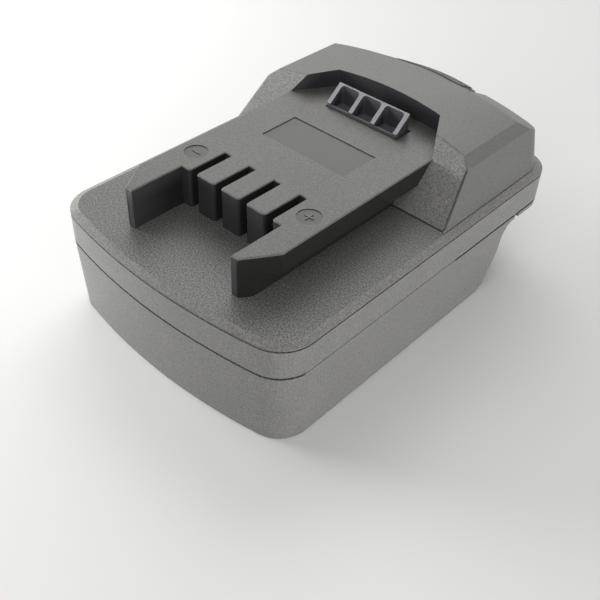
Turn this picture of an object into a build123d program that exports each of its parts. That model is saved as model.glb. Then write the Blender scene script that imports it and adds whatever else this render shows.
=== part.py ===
from build123d import *
import math
import os

# Tool battery adapter: the battery slides into the bay underneath from the rear,
# the tool slides on to the rails on top from the front.
# Millimetres. X is across, Y runs from the fork (front) to the hump (rear), Z is up.
# The origin is on the standing surface, at the middle of the casing.

os.makedirs("parts", exist_ok=True)

# Casing
half_width = 39.0
half_length = 56.7
end_bow = 4.6
corner_radius = 9.5
wall = 2.4
rim_bevel = 1.9
rim_drop = 0.8
rim_round = 0.12
rim_groove_drop = 0.2
rim_groove_height = 0.42
rim_groove_depth = 0.8
edge_round = 0.35
seam_round = 0.2
deck_z = 30.0
parting_z = 20.9
parting_gap = 0.5
side_gap = 0.12
side_gap_y0 = -46.0
side_gap_y1 = 9.0
skirt_taper = 0.9
rim_z = deck_z - rim_drop
front_y = -half_length
rear_y = half_length

# Rail platform
platform_z = 40.8
flange_half = 24.1
flange_low_z = 35.5
neck_half = 20.6
prong_tip_y = -46.5
prong_tip_half = 18.7
prong_shoulder_y = -38.2
fork_half = 16.6
rib_front_y = -31.2
rib_round = 0.9
slot_pitch = 8.4
slot_width = 2.2
slot_end_y = -19.6
slot_xs = [slot_pitch * (i - 1.5) for i in range(4)]

# Marks on the platform
label_half = 13.7
label_y0 = -6.7
label_y1 = 5.6
label_depth = 0.25
mark_x = 18.9
mark_y = -24.4
mark_radius = 3.1
mark_depth = 0.2
mark_bar = 2.6
mark_line = 0.38

# Hump
hump_foot_y = 5.0
hump_slope = 0.92
hump_foot_half = 36.6
hump_foot_rear = 54.3
hump_bow = 165.0
hump_corner = 7.1
shoulder_half = 33.8
shoulder_rear = 53.8
shoulder_z = 41.6
brow_half = 31.3
brow_z = 43.8
crown_z = 46.5
ridge_y = 42.7
facet_angle = 27.0
facet_radius = 163.0
hump_round = 0.6

# Recess behind the rails, where the tool's hook drops in
recess_mouth_y = 14.9
recess_back_half = 17.1
recess_corner_y = 26.7
recess_back_y = 27.8

# Latch
latch_half = 11.8
latch_front_y = 16.0
latch_lip_z = 41.9
latch_top_y = 21.0
latch_top_z = 46.0
latch_rear_y = 21.7
latch_rear_drop = 0.7
latch_round = 0.4
latch_rear_round = 1.1
latch_play = 0.3
pocket_width = 6.2
pocket_pitch = 7.45
pocket_front_y = 16.4
pocket_back_y = 20.7
pocket_round = 0.9
pocket_floor_z = 40.4
lip_notch = 0.35
plate_half = 13.4
plate_top_z = 38.1
plate_low_z = 35.8
plate_rear_y = 48.0
tongue_half = 7.5
tongue_y = 46.6
tongue_thick = 1.6
tongue_height = 2.4
guide_y = 34.0
guide_length = 6.0
guide_thick = 1.8

# Release button and the scoop around it
button_half = 11.0
button_front_y = 43.4
button_rear_y = 53.3
button_proud = 0.55
button_crown = 81.0
button_shelf_z = 39.5
button_skin = 1.4
button_roof = 2.2
grip_count = 4
grip_pitch = 2.3
grip_width = 1.1
grip_height = 0.45
grip_start = 2.6
apron_y = 50.6
apron_half = 13.0
apron_low_z = 32.2
apron_top_z = 39.2
scoop_half = 14.5
scoop_depth = 1.3
scoop_front_y = 43.0
scoop_slope = 1.5
scoop_low_z = 32.0
doorway_z = 33.2

# Springs
spring_x = 8.6
spring_y = 36.5
spring_wire = 0.7
spring_radius = 3.1
spring_turns = 6.75
peg_radius = 2.4
peg_height = 5.0
peg_length = 2.6

# Battery bay
roof_low_z = 18.3
roof_top_z = 20.5
edge_tongue_inset = wall + 0.15
edge_tongue = 1.05
edge_tongue_height = 2.0
bay_inset = 3.3
bay_rail_half = 32.0
bay_rail_low_z = 3.5
bay_rail_top_z = 6.5
bay_rail_y0 = -47.0
bay_rail_y1 = 26.5
bay_rail_width = 4.0
lip_low_z = 19.2
cutaway_outline = [
    (61.7, -1), (24.6, -1), (25.2, 0), (27.8, 1.6), (31.7, 11.0), (32.2, 16.4),
    (34.4, lip_low_z), (61.7, lip_low_z),
]
cutaway_foot_round = 2.0
cutaway_bend_round = 3.0
cutaway_lip_round = 2.2
notch_y = 37.8
notch_length = 1.8
notch_depth = 1.8
catch_y = 17.0
catch_length = 6.0
catch_half = 9.0
catch_depth = 2.8
catch_wall = 1.6

# Screws that join the shells, and the posts they run in
screw_front = (31.0, -44.0)
screw_rear = (28.0, 38.0)
front_screw_spots = [(side * screw_front[0], screw_front[1]) for side in (-1, 1)]
rear_screw_spots = [(side * screw_rear[0], screw_rear[1]) for side in (-1, 1)]
screw_spots = front_screw_spots + rear_screw_spots
screw_head_radius = 2.8
screw_head_height = 2.0
screw_shank_radius = 1.45
screw_length = 7.5
cross_length = 3.2
cross_width = 0.7
cross_depth = 1.0
seat_z = 20.9
post_z = 23.4
post_radius = 3.3
shank_grip = 0.05
shank_play = 0.15
head_play = 0.2

# Electronics
board_z = 23.4
board_thickness = 1.6
board_top_z = board_z + board_thickness
board_half = 21.0
board_y0 = -34.0
board_y1 = 2.0
board_spots = [(side * 18.0, y) for y in (-31.0, -1.0) for side in (-1, 1)]
board_post_radius = 2.4
small_shank_radius = 0.95
small_head_radius = 1.9
small_head_height = 1.3
small_length = 4.5
small_hole_depth = 4.8
small_cross_length = 2.2
small_cross_width = 0.5
small_cross_depth = 0.6
holder_top_z = 29.4
holder_y0 = -27.4
holder_y1 = -16.6
holder_half = 17.2
tail_width = 1.2
tail_thick = 0.5
tail_stub = 0.8
fit_gap = 0.1
comb_height = 4.0
comb_width = 2.6
clip_y = -22.0
clip_length = 8.0
clip_thick = 0.45
clip_round = 0.4
clip_foot_half = 1.5
clip_bend_z = 32.2
clip_throat_half = 0.62
clip_throat_z = 35.2
clip_mouth_half = 1.3
clip_mouth_z = 36.8
chip_spot = (-9.0, -9.0)
chip_width = 3.9
chip_length = 4.9
chip_height = 1.4
chip_lift = 0.1
chip_leg_span = 5.4
chip_leg_pitch = 1.27
chip_leg_count = 4
transistor_spots = [(4.0, -9.0), (13.0, -9.0)]
transistor_width = 6.6
transistor_length = 6.1
transistor_height = 1.8
transistor_leg_pitch = 4.6
transistor_leg_drop = 4.2
resistor_spot = (-3.0, -2.0)
resistor_pitch = (3.2, 2.4)
resistor_count = (4, 2)
resistor_size = (2.0, 1.25, 0.5)
capacitor_spot = (13.5, -2.8)
capacitor_radius = 2.0
capacitor_height = 5.4

# Battery terminal block and its blades
block_half = 13.0
block_y0 = -51.6
block_y1 = -41.2
block_low_z = 5.0
block_y = (block_y0 + block_y1) / 2
block_length = block_y1 - block_y0
block_screw_x = block_half + 3.2
block_spots = [(side * block_screw_x, block_y) for side in (-1, 1)]
block_flange_half = block_half + 5.4
block_flange = 1.8
block_boss_drop = 3.0
blade_xs = {"blade_negative": -9.0, "blade_signal": 0.0, "blade_positive": 9.0}
blade_thick = 0.8
blade_tip_y = -30.0
blade_low_z = 7.0
blade_high_z = 13.0
tail_y0 = -49.6
tail_y1 = -44.4
tail_top_z = 25.4


# Shapes used by more than one piece

def casing_plan(z, inset):
    """Plan of the casing: straight sides, bowed ends and round corners."""
    half = half_width - inset
    end = half_length - inset
    with BuildSketch(Plane.XY.offset(z)) as plan:
        with BuildLine():
            Line((half, end_bow - end), (half, end - end_bow))
            ThreePointArc((half, end - end_bow), (0, end), (-half, end - end_bow))
            Line((-half, end - end_bow), (-half, end_bow - end))
            ThreePointArc((-half, end_bow - end), (0, -end), (half, end_bow - end))
        make_face()
        fillet(plan.vertices(), corner_radius - inset)
    return plan.sketch


def platform_plan(z, half):
    """Plan of the rail platform, with its fork, slots and rounded rib fronts."""
    run = (half - prong_tip_half) / (flange_half - prong_tip_half)
    shoulder_y = prong_tip_y + run * (prong_shoulder_y - prong_tip_y)
    with BuildSketch(Plane.XY.offset(z)) as plan:
        with BuildLine():
            Polyline(
                (prong_tip_half, prong_tip_y),
                (half, shoulder_y),
                (half, recess_mouth_y),
                (-half, recess_mouth_y),
                (-half, shoulder_y),
                (-prong_tip_half, prong_tip_y),
                close=True,
            )
        make_face()
        with Locations((0, (prong_tip_y + rib_front_y) / 2)):
            Rectangle(2 * fork_half, rib_front_y - prong_tip_y, mode=Mode.SUBTRACT)
        with Locations(*[(x, (rib_front_y + slot_end_y) / 2) for x in slot_xs]):
            Rectangle(slot_width, slot_end_y - rib_front_y, mode=Mode.SUBTRACT)
        corners = [v for v in plan.vertices() if abs(v.Y - rib_front_y) < 0.01 and abs(v.X) < fork_half - 0.5]
        fillet(corners, rib_round)
    return plan.sketch


def hump_plan(z, inset):
    """Plan of the hump's walls at one height: bowed rear, rounded rear corners."""
    rise = (z - deck_z) / (shoulder_z - deck_z)
    half = hump_foot_half - (hump_foot_half - shoulder_half) * rise - inset
    rear = hump_foot_rear - (hump_foot_rear - shoulder_rear) * rise - inset
    drop = hump_bow - math.sqrt(hump_bow**2 - half**2)
    with BuildSketch(Plane.XY.offset(z)) as plan:
        with BuildLine():
            Polyline((-half, rear - drop), (-half, 0), (half, 0), (half, rear - drop))
            ThreePointArc((half, rear - drop), (0, rear), (-half, rear - drop))
        make_face()
        fillet(plan.vertices().filter_by(lambda v: v.Y > 1), hump_corner - inset - rise)
    return plan.sketch


def facet_z(y):
    """Height of the hump's rear facet on the centre line."""
    return crown_z - (y - ridge_y) * math.tan(math.radians(facet_angle))


def facet_round(radius, proud):
    """Circle across the slope of the rear facet; its top line lies that far above the facet."""
    tilt = math.radians(facet_angle)
    slope_plane = Plane(
        origin=(0, ridge_y, crown_z), x_dir=(1, 0, 0), z_dir=(0, math.cos(tilt), -math.sin(tilt))
    )
    with BuildSketch(slope_plane) as round_form:
        with Locations((0, radius - proud)):
            Circle(radius)
    return round_form.sketch


def hump_form(inset, low_z):
    """The hump without its recess: walls, crowned top, side chamfers, rear facet and slanted front.
    A positive inset gives its hollow."""
    chamfer_slope = (brow_z - shoulder_z) / (shoulder_half - brow_half)
    eave_z = brow_z - chamfer_slope * (half_width - brow_half)
    above_z = crown_z + 5
    front_y = hump_foot_y + inset * math.hypot(1, hump_slope)
    with BuildPart() as form:
        loft([hump_plan(low_z, inset), hump_plan(crown_z + 2, inset)], ruled=True)
        with BuildSketch(Plane.XZ):
            with BuildLine():
                Polyline(
                    (brow_half, brow_z),
                    (half_width, eave_z),
                    (half_width, 0),
                    (-half_width, 0),
                    (-half_width, eave_z),
                    (-brow_half, brow_z),
                )
                ThreePointArc((-brow_half, brow_z), (0, crown_z), (brow_half, brow_z))
            make_face()
            if inset:
                offset(amount=-inset, kind=Kind.INTERSECTION)
        extrude(amount=half_length, both=True, mode=Mode.INTERSECT)
        facet_side = facet_round(facet_radius - inset, -inset)
        extrude(facet_side, amount=2 * half_length, both=True, mode=Mode.INTERSECT)
        with BuildSketch(Plane.YZ):
            with BuildLine():
                Polyline(
                    (front_y + hump_slope * (low_z - deck_z), low_z),
                    (front_y + hump_slope * (above_z - deck_z), above_z),
                    (-1, above_z),
                    (-1, low_z),
                    close=True,
                )
            make_face()
        extrude(amount=half_width, both=True, mode=Mode.SUBTRACT)
        if not inset:
            fillet(form.edges().filter_by(lambda e: e.center().Z > low_z + 0.5), hump_round)
    return form.part


def recess_plan(z, grow):
    """Plan of the recess behind the rails; grow gives the wall around it."""
    with BuildSketch(Plane.XY.offset(z)) as plan:
        with BuildLine():
            Polyline(
                (-recess_back_half, recess_corner_y),
                (-flange_half, recess_mouth_y),
                (-flange_half, 0),
                (flange_half, 0),
                (flange_half, recess_mouth_y),
                (recess_back_half, recess_corner_y),
            )
            ThreePointArc(
                (recess_back_half, recess_corner_y), (0, recess_back_y), (-recess_back_half, recess_corner_y)
            )
        make_face()
        if grow:
            offset(amount=grow)
    return plan.sketch


def upright(x, y, z):
    """Place for a post, hole or screw that stands on z or hangs from it."""
    return Location((x, y, z))


def pair(x, y):
    """The same spot on both sides of the middle."""
    return [(-x, y), (x, y)]


def save(piece, name):
    piece.part.label = name
    export_step(piece.part, f"parts/{name}.step")


standing = (Align.CENTER, Align.CENTER, Align.MIN)
hanging = (Align.CENTER, Align.CENTER, Align.MAX)
hump_outside = hump_form(0, deck_z)
hump_hollow = hump_form(wall, parting_z + wall)
recess_low_z = platform_z - wall

# Upper housing: side band, bevelled rim over its groove, rail platform and hump in one moulding
with BuildPart() as upper_housing:
    extrude(casing_plan(parting_z, 0), amount=rim_z - parting_z)
    loft([casing_plan(rim_z, 0), casing_plan(deck_z, rim_bevel)], ruled=True)
    fillet(upper_housing.edges().filter_by(lambda e: abs(e.center().Z - rim_z) < 0.01), rim_round)
    fillet(upper_housing.edges().group_by(Axis.Z)[0], seam_round)
    with BuildSketch(Plane.XY.offset(rim_z - rim_groove_drop)) as rim_groove:
        add(casing_plan(rim_z - rim_groove_drop, -rim_groove_depth))
        add(casing_plan(rim_z - rim_groove_drop, rim_groove_depth), mode=Mode.SUBTRACT)
    extrude(amount=-rim_groove_height, mode=Mode.SUBTRACT)
    extrude(platform_plan(deck_z, neck_half), amount=flange_low_z - deck_z)
    with BuildPart(mode=Mode.PRIVATE) as flange:
        extrude(platform_plan(flange_low_z, flange_half), amount=platform_z - flange_low_z)
        top_edges = flange.edges().filter_by(lambda e: e.center().Z > platform_z - 0.01)
        fillet(top_edges.filter_by(lambda e: e.center().Y < recess_mouth_y - 0.1), edge_round)
    add(flange.part)
    add(hump_outside)
    extrude(recess_plan(platform_z, 0), amount=crown_z - platform_z + 1, mode=Mode.SUBTRACT)

    # hollow under the deck, the platform and the hump, clear of the recess's own walls
    extrude(casing_plan(parting_z, wall), amount=deck_z - wall - parting_z, mode=Mode.SUBTRACT)
    with BuildSketch(Plane.XY.offset(deck_z - wall)) as under_platform:
        with Locations((0, (rib_front_y + wall + recess_mouth_y) / 2)):
            Rectangle(2 * (neck_half - wall), recess_mouth_y - rib_front_y - wall)
    extrude(amount=platform_z - deck_z, mode=Mode.SUBTRACT)
    with BuildPart(mode=Mode.PRIVATE) as recess_core:
        extrude(recess_plan(recess_low_z, wall), amount=crown_z - recess_low_z)
    add(hump_hollow - recess_core.part, mode=Mode.SUBTRACT)

    # posts for the shell screws, up into the deck in front and into the hump's roof behind
    with BuildSketch(Plane.XY.offset(post_z)):
        with Locations(*front_screw_spots):
            Circle(post_radius)
    extrude(amount=deck_z - wall / 2 - post_z)
    with BuildSketch(Plane.XY.offset(post_z)):
        with Locations(*rear_screw_spots):
            Circle(post_radius)
    extrude(amount=brow_z - wall / 2 - post_z)
    with Locations(*[upright(x, y, post_z) for x, y in screw_spots]):
        hole_depth = seat_z + screw_length - post_z + 0.2
        Cylinder(screw_shank_radius + shank_grip, hole_depth, align=standing, mode=Mode.SUBTRACT)

    # guides on both sides of the latch plate, hanging from the hump's roof
    with BuildSketch(Plane.XY.offset(deck_z)):
        with Locations(*pair(plate_half + latch_play + guide_thick / 2, guide_y)):
            Rectangle(guide_thick, guide_length)
    extrude(amount=crown_z - wall + 0.4 - deck_z)

    # slot for the latch hook through the floor of the recess
    with BuildSketch(Plane.XY.offset(recess_low_z)):
        with Locations((0, (latch_front_y + latch_rear_y) / 2)):
            Rectangle(2 * (latch_half + latch_play), latch_rear_y - latch_front_y + 2 * latch_play)
    extrude(amount=wall, mode=Mode.SUBTRACT)

    # thumb scoop in the rear facet and wall, and the button's doorway through it
    scoop_rear_y = shoulder_rear - scoop_depth
    with BuildSketch(Plane.YZ) as scoop:
        with BuildLine():
            Polyline(
                (scoop_front_y, crown_z + 2),
                (scoop_front_y, facet_z(scoop_front_y)),
                (scoop_front_y + scoop_slope, facet_z(scoop_front_y + scoop_slope) - scoop_depth),
                (scoop_rear_y, facet_z(scoop_rear_y) - scoop_depth),
                (scoop_rear_y, scoop_low_z + scoop_slope),
                (rear_y, scoop_low_z - scoop_slope),
                (rear_y, crown_z + 2),
                close=True,
            )
        make_face()
        fillet(scoop.vertices().sort_by(Axis.Z)[2], scoop_slope)
    extrude(amount=scoop_half, both=True, mode=Mode.SUBTRACT)
    with BuildSketch(Plane.YZ) as doorway:
        with BuildLine():
            Polyline(
                (button_front_y - latch_play, crown_z + 2),
                (button_front_y - latch_play, button_shelf_z + 1),
                (apron_y - 1, plate_top_z + 0.4),
                (apron_y - 1, doorway_z),
                (rear_y, doorway_z),
                (rear_y, crown_z + 2),
                close=True,
            )
        make_face()
    extrude(amount=button_half + latch_play, both=True, mode=Mode.SUBTRACT)

    # bare label field and the two round polarity marks, minus on -X and plus on +X
    with BuildSketch(Plane.XY.offset(platform_z)):
        with Locations((0, (label_y0 + label_y1) / 2)):
            Rectangle(2 * label_half, label_y1 - label_y0)
    extrude(amount=-label_depth, mode=Mode.SUBTRACT)
    with BuildSketch(Plane.XY.offset(platform_z)):
        with Locations(*pair(mark_x, mark_y)):
            Circle(mark_radius)
        with Locations(*pair(mark_x, mark_y)):
            Rectangle(mark_bar, mark_line, mode=Mode.SUBTRACT)
        with Locations((mark_x, mark_y)):
            Rectangle(mark_line, mark_bar, mode=Mode.SUBTRACT)
    extrude(amount=-mark_depth, mode=Mode.SUBTRACT)
save(upper_housing, "upper_housing")

# Lower housing: skirt around the battery bay, its roof, rails and screw posts
skirt_top_z = parting_z - parting_gap
with BuildPart() as lower_housing:
    loft([casing_plan(0, skirt_taper), casing_plan(parting_z - side_gap, 0)], ruled=True)
    fillet(lower_housing.edges().group_by(Axis.Z)[-1], seam_round / 2)

    # the seam stands open at both ends; along the sides the shells all but touch
    with BuildSketch(Plane.XY.offset(skirt_top_z)) as open_seam:
        for y0, y1 in ((front_y - 1, side_gap_y0), (side_gap_y1, rear_y + 1)):
            with Locations((0, (y0 + y1) / 2)):
                Rectangle(2 * half_width + 2, y1 - y0)
        add(casing_plan(skirt_top_z, edge_tongue_inset), mode=Mode.SUBTRACT)
    extrude(amount=parting_gap, mode=Mode.SUBTRACT)
    extrude(casing_plan(0, bay_inset), amount=roof_low_z, mode=Mode.SUBTRACT)
    extrude(casing_plan(roof_top_z, edge_tongue_inset + edge_tongue), amount=1, mode=Mode.SUBTRACT)

    # tongue that stands inside the upper housing's wall
    with BuildSketch(Plane.XY.offset(roof_top_z)) as tongue:
        add(casing_plan(roof_top_z, edge_tongue_inset))
        add(casing_plan(roof_top_z, edge_tongue_inset + edge_tongue), mode=Mode.SUBTRACT)
    extrude(amount=edge_tongue_height)

    # rails that the battery slides on
    with BuildSketch(Plane.XY.offset(bay_rail_low_z)):
        with Locations(*pair(bay_rail_half + bay_rail_width / 2, (bay_rail_y0 + bay_rail_y1) / 2)):
            Rectangle(bay_rail_width, bay_rail_y1 - bay_rail_y0)
    extrude(amount=bay_rail_top_z - bay_rail_low_z)

    # the rear is cut away for the hand that frees the battery; only a lip stays under the seam
    with BuildSketch(Plane.YZ) as cutaway:
        with BuildLine():
            Polyline(*cutaway_outline, close=True)
        make_face()
        for corner, radius in ((3, cutaway_foot_round), (5, cutaway_bend_round), (6, cutaway_lip_round)):
            corner_y, corner_z = cutaway_outline[corner]
            at_corner = cutaway.vertices().sort_by_distance((corner_y, corner_z, 0))[:1]
            fillet(at_corner, radius)
    extrude(amount=half_width + 1, both=True, mode=Mode.SUBTRACT)
    with BuildSketch(Plane.XY.offset(lip_low_z - 1)):
        with Locations(*pair(half_width, notch_y)):
            Rectangle(2 * notch_depth, notch_length)
    extrude(amount=parting_z - lip_low_z + 1, mode=Mode.SUBTRACT)

    # posts of the shell screws, with their seats open to the bay
    with BuildSketch(Plane.XY.offset(roof_low_z)):
        with Locations(*screw_spots):
            Circle(post_radius + 0.9)
    extrude(amount=post_z - roof_low_z)
    with Locations(*[upright(x, y, 0) for x, y in screw_spots]):
        Cylinder(screw_shank_radius + shank_play, post_z + 1, align=standing, mode=Mode.SUBTRACT)
        Cylinder(screw_head_radius + head_play, seat_z, align=standing, mode=Mode.SUBTRACT)

    # window for the terminal block, with a hole for each of its screws
    with BuildSketch(Plane.XY.offset(roof_low_z - 1)):
        with Locations((0, block_y)):
            Rectangle(2 * (block_half + fit_gap), block_length + 2 * fit_gap)
    extrude(amount=roof_top_z - roof_low_z + 2, mode=Mode.SUBTRACT)
    with BuildSketch(Plane.XY.offset(roof_low_z - block_boss_drop)):
        with Locations(*block_spots):
            Circle(small_shank_radius + 1.3)
    extrude(amount=roof_top_z - roof_low_z + block_boss_drop)

    # posts under the circuit board, and the pegs that hold the latch springs
    with BuildSketch(Plane.XY.offset(roof_top_z)):
        with Locations(*board_spots):
            Circle(board_post_radius)
    extrude(amount=board_z - roof_top_z)
    for spots, top in ((block_spots, roof_top_z), (board_spots, board_z)):
        with Locations(*[upright(x, y, top + 0.5) for x, y in spots]):
            Cylinder(small_shank_radius + shank_grip, small_hole_depth, align=hanging, mode=Mode.SUBTRACT)
    with BuildSketch(Plane.XY.offset(roof_top_z)):
        with Locations(*pair(spring_x, spring_y)):
            Circle(peg_radius)
    extrude(amount=peg_height)

    # pocket in the bay roof that the battery's catch snaps into
    with BuildSketch(Plane.XY.offset(roof_low_z)):
        with Locations((0, catch_y)):
            Rectangle(2 * (catch_half + catch_wall), catch_length + 2 * catch_wall)
    extrude(amount=catch_depth + catch_wall)
    with BuildSketch(Plane.XY.offset(roof_low_z)):
        with Locations((0, catch_y)):
            Rectangle(2 * catch_half, catch_length)
    extrude(amount=catch_depth, mode=Mode.SUBTRACT)
save(lower_housing, "lower_housing")

# Latch hook: sloped catch with three pockets, on the plate that slides down with it
with BuildPart() as latch_hook:
    with BuildSketch(Plane.YZ) as hook_side:
        with BuildLine():
            Polyline(
                (latch_front_y, plate_low_z),
                (latch_front_y, latch_lip_z),
                (latch_top_y, latch_top_z),
                (latch_rear_y, latch_top_z - latch_rear_drop),
                (latch_rear_y, plate_low_z),
                close=True,
            )
        make_face()
    extrude(amount=latch_half, both=True)
    fillet(latch_hook.edges().filter_by(Axis.Z).group_by(Axis.Y)[-1], latch_rear_round)
    fillet(latch_hook.edges().filter_by(Axis.Z).group_by(Axis.Y)[0], latch_round)
    with BuildSketch(Plane.XY.offset(pocket_floor_z)) as pockets:
        with Locations(*[(i * pocket_pitch, (pocket_front_y + pocket_back_y) / 2) for i in (-1, 0, 1)]):
            Rectangle(pocket_width, pocket_back_y - pocket_front_y)
        fillet(pockets.vertices().group_by(Axis.Y)[-1], pocket_round)
    extrude(amount=latch_top_z - pocket_floor_z, mode=Mode.SUBTRACT)
    with BuildSketch(Plane.XY.offset(latch_lip_z - lip_notch)):
        with Locations(*[(i * pocket_pitch, latch_front_y) for i in (-1, 0, 1)]):
            Rectangle(pocket_width, 2 * (pocket_front_y - latch_front_y) + 0.8)
    extrude(amount=latch_top_z - latch_lip_z, mode=Mode.SUBTRACT)
    with BuildSketch(Plane.XY.offset(plate_low_z)):
        with Locations((0, (latch_front_y + plate_rear_y) / 2)):
            Rectangle(2 * plate_half, plate_rear_y - latch_front_y)
        fillet(vertices(), 1.0)
    extrude(amount=plate_top_z - plate_low_z)
    with BuildSketch(Plane.XY.offset(plate_low_z)):
        with Locations(*pair(spring_x, spring_y)):
            Circle(peg_radius)
    extrude(amount=-peg_length)
    # tongue that the button is pushed on to
    with BuildSketch(Plane.XY.offset(plate_top_z)):
        with Locations((0, tongue_y)):
            Rectangle(2 * tongue_half, tongue_thick)
    extrude(amount=tongue_height)
save(latch_hook, "latch_hook")

# Release button: crowned thumb rest with grip ribs, on an apron behind the doorway
tilt = math.radians(facet_angle)
grip_plane = Plane(origin=(0, ridge_y, crown_z), x_dir=(1, 0, 0), z_dir=(0, math.sin(tilt), math.cos(tilt)))
rear_drop = hump_bow - math.sqrt(hump_bow**2 - button_half**2)
with BuildPart() as release_button:
    with BuildSketch(Plane.XY.offset(plate_top_z)) as button_plan:
        with BuildLine():
            Polyline(
                (button_half, button_rear_y - rear_drop),
                (button_half, button_front_y),
                (-button_half, button_front_y),
                (-button_half, button_rear_y - rear_drop),
            )
            ThreePointArc(
                (-button_half, button_rear_y - rear_drop),
                (0, button_rear_y),
                (button_half, button_rear_y - rear_drop),
            )
        make_face()
    extrude(amount=crown_z - plate_top_z)
    button_core = facet_round(button_crown, button_proud - grip_height)
    extrude(button_core, amount=2 * half_length, both=True, mode=Mode.INTERSECT)
    fillet(release_button.edges().filter_by(lambda e: e.center().Z > button_shelf_z), edge_round)
    with BuildSketch(Plane.YZ) as under_shelf:
        with BuildLine():
            Polyline(
                (apron_y - 0.2, plate_top_z),
                (apron_y - 0.2, button_shelf_z - 0.6),
                (button_rear_y, button_shelf_z),
                (button_rear_y + 1, plate_top_z),
                close=True,
            )
        make_face()
    extrude(amount=button_half, both=True, mode=Mode.SUBTRACT)
    # grip ribs across the top
    with BuildPart(mode=Mode.PRIVATE) as grips:
        with BuildSketch(grip_plane.offset(-1)):
            with Locations(*[(0, grip_start + i * grip_pitch) for i in range(grip_count)]):
                Rectangle(2 * button_half - 2 * edge_round, grip_width)
        extrude(amount=2)
        grip_tops = facet_round(button_crown, button_proud)
        extrude(grip_tops, amount=2 * half_length, both=True, mode=Mode.INTERSECT)
    add(grips.part)
    # apron that closes the doorway behind the button while it is up or down
    with BuildSketch(Plane.XZ.offset(-apron_y)):
        with Locations((0, (apron_low_z + apron_top_z) / 2)):
            Rectangle(2 * apron_half, apron_top_z - apron_low_z)
    extrude(amount=button_skin)
    # hollow from below, which also takes the plate's tongue
    hollow_y0 = button_front_y + button_skin
    hollow_y1 = apron_y - button_skin
    with BuildSketch(Plane.YZ) as button_hollow:
        with BuildLine():
            Polyline(
                (hollow_y0, plate_top_z - 0.1),
                (hollow_y0, facet_z(hollow_y0) - button_roof),
                (hollow_y1, facet_z(hollow_y1) - button_roof),
                (hollow_y1, plate_top_z - 0.1),
                close=True,
            )
        make_face()
    extrude(amount=button_half - button_skin, both=True, mode=Mode.SUBTRACT)
save(release_button, "release_button")


# Latch springs: open coils, each half turn a pair of arcs that share their tangents

def helix_point(x0, y0, turn):
    """Point on a spring's centre line after that many turns."""
    angle = 2 * math.pi * turn
    x = x0 + spring_radius * math.cos(angle)
    y = y0 + spring_radius * math.sin(angle)
    return Vector(x, y, spring_low_z + spring_rise * turn)


def helix_tangent(turn):
    angle = 2 * math.pi * turn
    return Vector(-math.sin(angle), math.cos(angle), spring_rise / (2 * math.pi * spring_radius)).normalized()


spring_low_z = roof_top_z + spring_wire / 2 + 0.05
spring_rise = (plate_low_z - roof_top_z - spring_wire - 0.1) / spring_turns
for name, x0 in (("latch_spring_left", -spring_x), ("latch_spring_right", spring_x)):
    with BuildPart() as spring:
        with BuildLine() as coil:
            for quarter in range(int(spring_turns * 4)):
                p0 = helix_point(x0, spring_y, quarter / 4)
                p1 = helix_point(x0, spring_y, (quarter + 1) / 4)
                t0 = helix_tangent(quarter / 4)
                t1 = helix_tangent((quarter + 1) / 4)
                chord = p1 - p0
                lean = chord.dot(t0 + t1)
                bend = 2 * (1 - t0.dot(t1))
                reach = (math.sqrt(lean**2 + bend * chord.dot(chord)) - lean) / bend
                middle = (p0 + t0 * reach + p1 - t1 * reach) * 0.5
                TangentArc(p0, middle, tangent=t0)
                TangentArc(middle, p1, tangent=p1 - t1 * reach - p0 - t0 * reach)
        with BuildSketch(Plane(origin=helix_point(x0, spring_y, 0), z_dir=helix_tangent(0))):
            Circle(spring_wire / 2)
        sweep(path=coil.line)
    save(spring, name)
turn_steps = 24
coil_points = [helix_point(0, 0, i / turn_steps) for i in range(int(spring_turns * turn_steps) + 1)]
nearest = min(
    (a - b).length for i, a in enumerate(coil_points) for b in coil_points[i + turn_steps // 2:]
)
print("spring turns", spring_turns, "least gap", round(nearest - spring_wire, 3))

# Circuit board, with holes for the contact tails and its screws
tail_spots = [(x, clip_y) for x in slot_xs]
with BuildPart() as circuit_board:
    with BuildSketch(Plane.XY.offset(board_z)):
        with Locations((0, (board_y0 + board_y1) / 2)):
            Rectangle(2 * board_half, board_y1 - board_y0)
        fillet(vertices(), 1.0)
        with Locations(*board_spots):
            Circle(small_shank_radius + 0.2, mode=Mode.SUBTRACT)
        with Locations(*tail_spots):
            Rectangle(tail_thick + 2 * fit_gap, tail_width + 2 * fit_gap, mode=Mode.SUBTRACT)
    extrude(amount=board_thickness)
save(circuit_board, "circuit_board")

with BuildPart() as controller_chip:
    with BuildSketch(Plane.XY.offset(board_top_z + chip_lift)):
        with Locations(chip_spot):
            Rectangle(chip_width, chip_length)
    extrude(amount=chip_height)
    with BuildSketch(Plane.XY.offset(board_top_z)):
        with Locations(chip_spot):
            with GridLocations(chip_leg_span, chip_leg_pitch, 2, chip_leg_count):
                Rectangle(1.2, 0.4)
    extrude(amount=0.6)
save(controller_chip, "controller_chip")

with BuildPart() as power_transistors:
    with BuildSketch(Plane.XY.offset(board_top_z)):
        with Locations(*transistor_spots):
            Rectangle(transistor_width, transistor_length)
    extrude(amount=transistor_height)
    with BuildSketch(Plane.XY.offset(board_top_z)):
        with Locations(*[(x, y - transistor_leg_drop) for x, y in transistor_spots]):
            with GridLocations(transistor_leg_pitch, 1, 2, 1):
                Rectangle(0.8, 2.4)
    extrude(amount=0.5)
save(power_transistors, "power_transistors")

with BuildPart() as chip_resistors:
    with BuildSketch(Plane.XY.offset(board_top_z)):
        with Locations(resistor_spot):
            with GridLocations(*resistor_pitch, *resistor_count):
                Rectangle(*resistor_size[:2])
    extrude(amount=resistor_size[2])
save(chip_resistors, "chip_resistors")

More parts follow.
